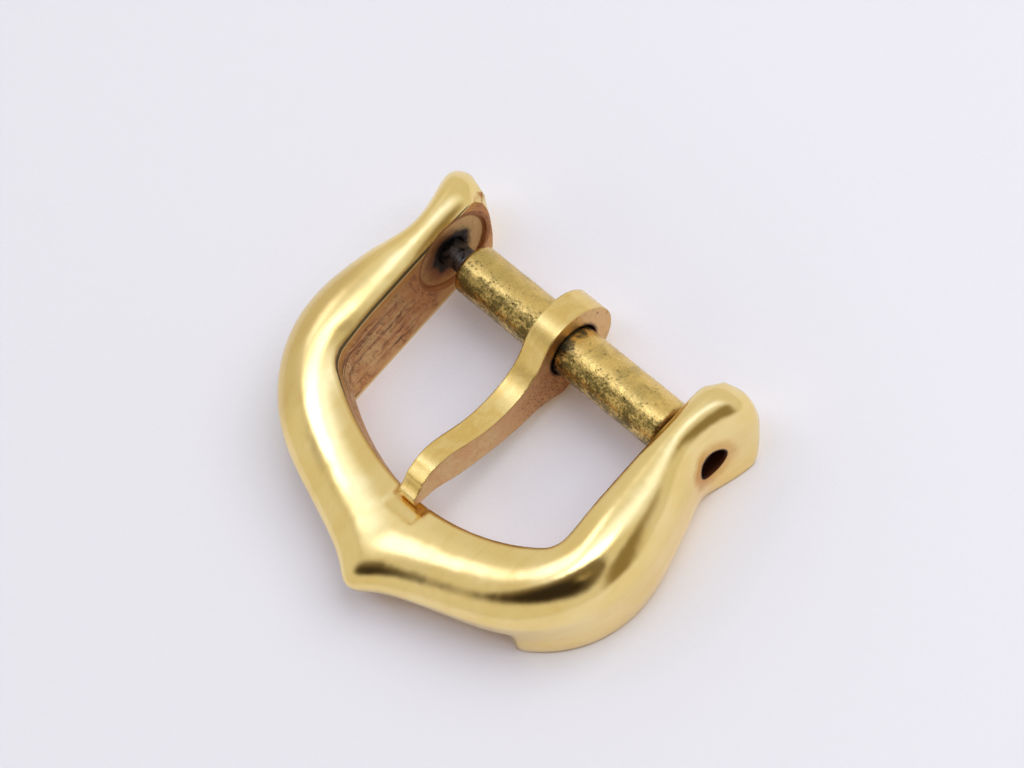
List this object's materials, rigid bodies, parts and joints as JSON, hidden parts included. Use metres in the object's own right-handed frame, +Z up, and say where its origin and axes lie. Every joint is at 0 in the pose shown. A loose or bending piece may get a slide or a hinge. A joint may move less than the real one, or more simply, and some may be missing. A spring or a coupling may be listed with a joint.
{
  "type": "watch tang buckle",
  "caption": "Small cast watch strap buckle: a horseshoe frame with a pointed nose, a curved pin tongue and a sprung telescopic bar between the ears.",
  "frame": {"origin": "on the spring bar's axis, midway between the legs", "axes": "+X along the bar, +Y away from the nose, +Z up, away from the wrist"},
  "size_m": [0.0152, 0.0127, 0.0038],
  "materials": {
    "frame_gold": "polished gold plating",
    "tongue_gold": "satin gold plating, worn coppery on the sides",
    "barrel_gold": "tarnished gold plating with dark specks",
    "pin_steel": "dull grey steel",
    "coil_steel": "bright drawn wire"
  },
  "bodies": {
    "frame": {"frame": "frame_gold"},
    "tongue": {"tongue": "tongue_gold"},
    "bar": {"barrel": "barrel_gold", "coil_spring": "coil_steel"},
    "left_pin": {"left_plunger": "pin_steel"},
    "right_pin": {"right_plunger": "pin_steel"}
  },
  "joints": [
    {"name": "tongue_hinge", "type": "hinge", "parent": "frame", "child": "tongue", "pos_m": [0, 0, 0], "axis": [-1, 0, 0], "range_deg": [0, 342]},
    {"name": "bar_spin", "type": "hinge", "parent": "frame", "child": "bar", "pos_m": [0, 0, 0], "axis": [1, 0, 0], "continuous": true},
    {"name": "left_pin_slide", "type": "slide", "parent": "bar", "child": "left_pin", "axis": [1, 0, 0], "range_m": [0, 0.0011], "stiffness_N_per_m": 100, "deforming": ["coil_spring"]},
    {"name": "right_pin_slide", "type": "slide", "parent": "bar", "child": "right_pin", "axis": [-1, 0, 0], "range_m": [0, 0.0011], "stiffness_N_per_m": 100, "deforming": ["coil_spring"]}
  ]
}
